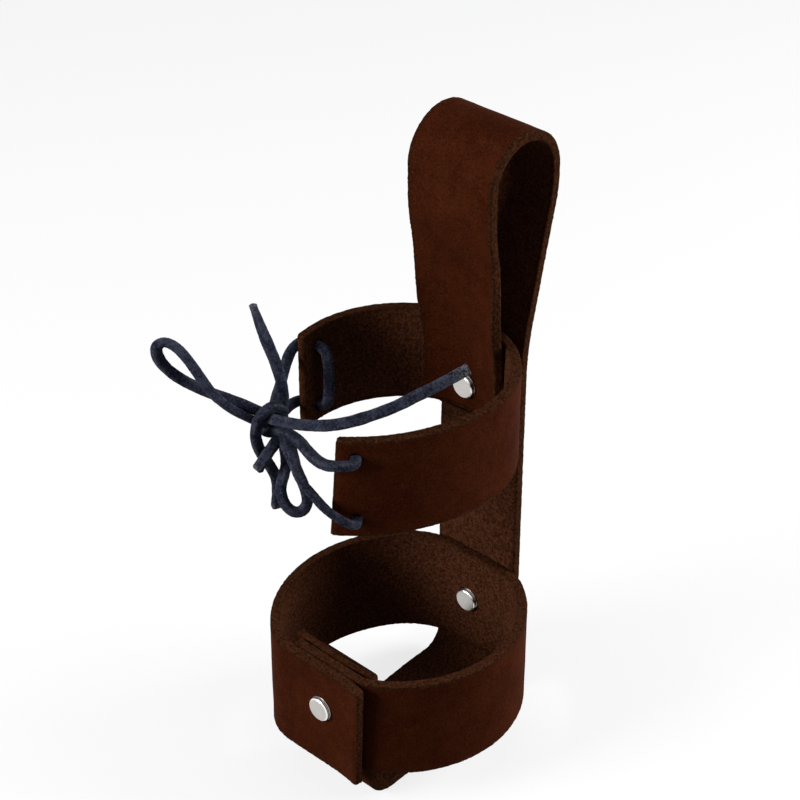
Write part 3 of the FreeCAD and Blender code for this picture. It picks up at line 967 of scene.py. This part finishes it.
def rivet_outline():
    """Radius, height and painted light level of a head: a foot in painted shade, a wall whose
    groove is in painted shade, a polished rim with a painted highlight, and a plain face.
    """
    rim_radius, face_radius, face_height = RIVET_RIM_RADIUS, RIVET_FACE_RADIUS, RIVET_FACE_HEIGHT
    outline = [
        (0.0, 0.0, 0.0), (RIVET_RADIUS - 0.00008, 0.0, 0.0), (RIVET_RADIUS, 0.00008, 0.0),
        (RIVET_RADIUS - 0.00008, 0.00018, 0.0), (rim_radius + 0.00012, 0.00026, 0.0),
        (rim_radius + 0.00004, 0.00034, 0.5), (rim_radius, 0.00046, 0.6),
        (rim_radius, 0.00080, 0.6), (rim_radius - 0.00002, 0.00088, 0.5),
        (rim_radius - 0.00010, 0.00094, 0.0), (rim_radius - 0.00010, 0.00112, 0.0),
        (rim_radius - 0.00002, 0.00118, 0.5), (rim_radius, 0.00126, 0.9),
        (rim_radius, 0.00138, 1.0), (rim_radius - 0.00004, 0.00146, 1.0),
        (face_radius + 0.00006, face_height - 0.00004, 1.0), (face_radius, face_height, 0.95),
        (face_radius - 0.00010, face_height + 0.00001, 0.55),
    ]
    for step in range(1, RIVET_FACE_STEPS):
        share = 1 - step / RIVET_FACE_STEPS
        height = face_height + (RIVET_CROWN - face_height) * (1 - share**2)
        outline.append((face_radius * share, height, RIVET_FACE_LIGHT_LEVEL))
    outline.append((0.0, RIVET_CROWN, RIVET_FACE_LIGHT_LEVEL))
    return outline


def rivets():
    """A head on each side of the leather, its crown where the solid's is."""
    finish = rivet_nickel()
    for name in RIVETS:
        cap_low, cap_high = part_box(f"{name}_cap")
        base_low, base_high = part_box(f"{name}_base")
        outward = math.copysign(1, (cap_low.y + cap_high.y) - (base_low.y + base_high.y))
        for part, (low, high), way in (("cap", (cap_low, cap_high), outward),
                                       ("base", (base_low, base_high), -outward)):
            head = lathe(rivet_outline())
            crown = max(vertex.co.z for vertex in head.verts)
            tip = high.y if way > 0 else low.y
            seat = Vector(((low.x + high.x) / 2, tip - way * crown, (low.z + high.z) / 2))
            turn = Vector((0, 0, 1)).rotation_difference(Vector((0, way, 0))).to_matrix().to_4x4()
            bmesh.ops.transform(head, matrix=Matrix.Translation(seat) @ turn, verts=head.verts)
            piece = finished(f"{name}_{part}_head", head)
            dress(piece, finish, "rivet_metal", f"{name}_{part}")


def camera():
    """The photograph's view."""
    azimuth, elevation = math.radians(CAMERA_AZIMUTH), math.radians(CAMERA_ELEVATION)
    back = Vector((math.sin(azimuth) * math.cos(elevation),
                   -math.cos(azimuth) * math.cos(elevation),
                   math.sin(elevation)))
    right = Vector((math.cos(azimuth), math.sin(azimuth), 0))
    data = bpy.data.cameras.new("camera")
    data.sensor_width = SENSOR_MILLIMETRES
    data.lens = CAMERA_FOCAL_PIXELS / PHOTO_PIXELS * SENSOR_MILLIMETRES
    view = bpy.data.objects.new("camera", data)
    view.location = right * AIM_RIGHT + Vector((0, 0, AIM_HEIGHT)) + back * CAMERA_DISTANCE
    view.rotation_mode = "QUATERNION"
    view.rotation_quaternion = (-back).to_track_quat("-Z", "Y")
    bpy.context.scene.collection.objects.link(view)
    bpy.context.scene.camera = view


def lamp(name, place, size, watts):
    data = bpy.data.lights.new(name, "AREA")
    data.shape = "SQUARE"
    data.size = size
    data.energy = watts
    light = bpy.data.objects.new(name, data)
    light.location = place
    light.rotation_euler = (LAMP_AIM - place).to_track_quat("-Z", "Y").to_euler()
    bpy.context.scene.collection.objects.link(light)


def studio():
    """White surroundings that give little light, a pale floor and three soft lamps."""
    world = bpy.data.worlds.new("studio")
    bpy.context.scene.world = world
    world.use_nodes = True
    sky = Finish(world.node_tree)
    colour = sky.mix(sky.in_sight(), SKY_LIGHT, WHITE)
    light = sky.node("ShaderNodeBackground", None, {"Color": colour, "Strength": 1.0})
    sky.node("ShaderNodeOutputWorld", None, {"Surface": light})

    floor_mesh = bmesh.new()
    bmesh.ops.create_grid(floor_mesh, x_segments=1, y_segments=1, size=FLOOR_SIZE)
    floor = finished("floor", floor_mesh)
    material, paper = new_finish("floor_paper")
    where = paper.place()
    tone = paper.noise(where, FLOOR_CLOUD_SIZE)
    away = paper.node("ShaderNodeVectorMath", {"operation": "LENGTH"}, {0: where}, "Value")
    far = paper.span(away, FLOOR_FADE_START, FLOOR_FADE_END)
    glow = paper.mix(far, FLOOR_GLOW, WHITE)
    paper.surface({
        "Base Color": paper.mix(tone, *FLOOR_GREYS),
        "Emission Color": paper.mix(paper.in_sight(), BLACK, glow),
        "Emission Strength": 1.0,
        "Roughness": 0.9,
        "Specular IOR Level": 0.1,
    })
    floor.data.materials.append(material)

    for name, (place, size, watts) in LAMPS.items():
        lamp(name, place, size, watts)
    bpy.context.scene.view_settings.view_transform = "Standard"


camera()
lace()
studio()
leather = brown_leather()
dress(carrier_strap(), leather, "strap_leather", "carrier_strap")
dress(lower_band(), leather, "band_leather", "lower_band")
dress(upper_band(), leather, "band_leather", "upper_band")
rivets()
